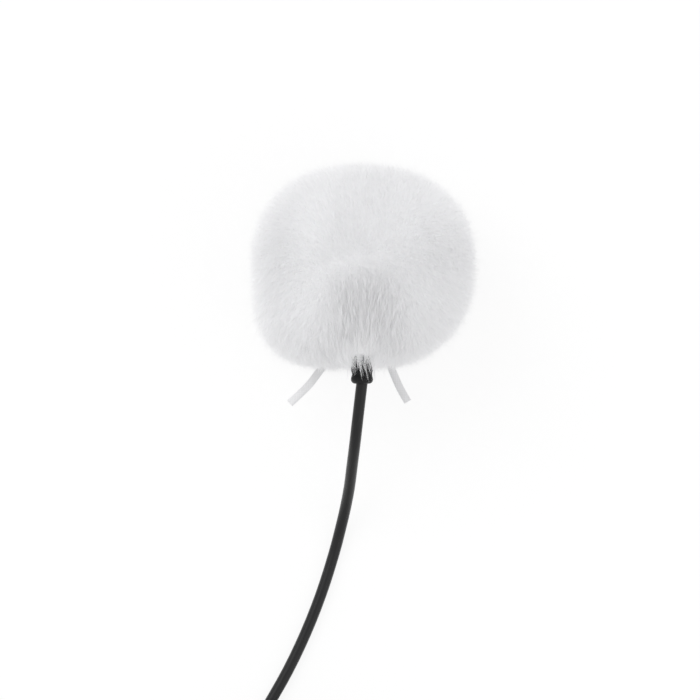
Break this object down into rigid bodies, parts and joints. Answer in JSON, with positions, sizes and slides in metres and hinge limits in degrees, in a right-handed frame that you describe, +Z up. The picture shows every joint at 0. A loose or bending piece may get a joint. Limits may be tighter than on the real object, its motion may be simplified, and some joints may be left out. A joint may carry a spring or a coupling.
{
  "type": "furry microphone windscreen",
  "caption": "Round white furry windscreen with a drawstring neck, fitted on a slim lapel microphone with a thin lead and a jack plug.",
  "frame": {"origin": "middle of the flat patch that the fur ball rests on, straight below the microphone's axis", "axes": "+Z up from the table, +Y along the microphone's axis from the cable towards the ball's crown, +X to the right"},
  "size_m": [0.0578, 0.1434, 0.037],
  "materials": {
    "white_pile": "matte",
    "white_fabric": "matte",
    "white_lace": "matte",
    "grey_foam": "matte",
    "black_metal": "satin",
    "black_rubber": "matte",
    "cable_jacket": "matte",
    "nickel": "polished",
    "brass": "satin",
    "clear_film": "gloss",
    "black_plastic": "matte",
    "board": "gloss"
  },
  "bodies": {
    "microphone": {"grille_cap": "black_metal", "acoustic_screen": "white_fabric", "capsule_can": "nickel", "diaphragm_ring": "brass", "diaphragm": "clear_film", "spacer_ring": "clear_film", "backplate": "brass", "preamp_board": "board", "barrel": "black_metal", "cable_ferrule": "nickel", "strain_relief": "black_rubber", "cable_entry": "cable_jacket", "cable_lead": "cable_jacket", "cable_coil": "cable_jacket", "cable_end": "cable_jacket", "coil_tie": "black_rubber", "plug_boot": "black_rubber", "plug_cable_entry": "cable_jacket", "plug_shell": "black_metal", "jack_sleeve": "nickel", "jack_insulator_rear": "black_plastic", "jack_ring": "nickel", "jack_insulator_front": "black_plastic", "jack_tip": "nickel", "plug_core": "black_plastic"},
    "windscreen": {"fur_pile": "white_pile", "backing_cloth": "white_fabric", "seam_tape": "white_fabric", "crown_stitch": "white_fabric", "foam_core": "grey_foam", "neck_hem": "white_fabric", "drawstring": "white_lace"},
    "lock_nut": {"lock_nut": "black_metal"}
  },
  "joints": [
    {"name": "windscreen_pull_off", "type": "slide", "parent": "microphone", "child": "windscreen", "axis": [0, 1, 0], "range_m": [0, 0.022]},
    {"name": "lock_nut_spin", "type": "hinge", "parent": "microphone", "child": "lock_nut", "pos_m": [0.0129, -0.122, 0.0044], "axis": [1, 0, 0], "continuous": true}
  ]
}
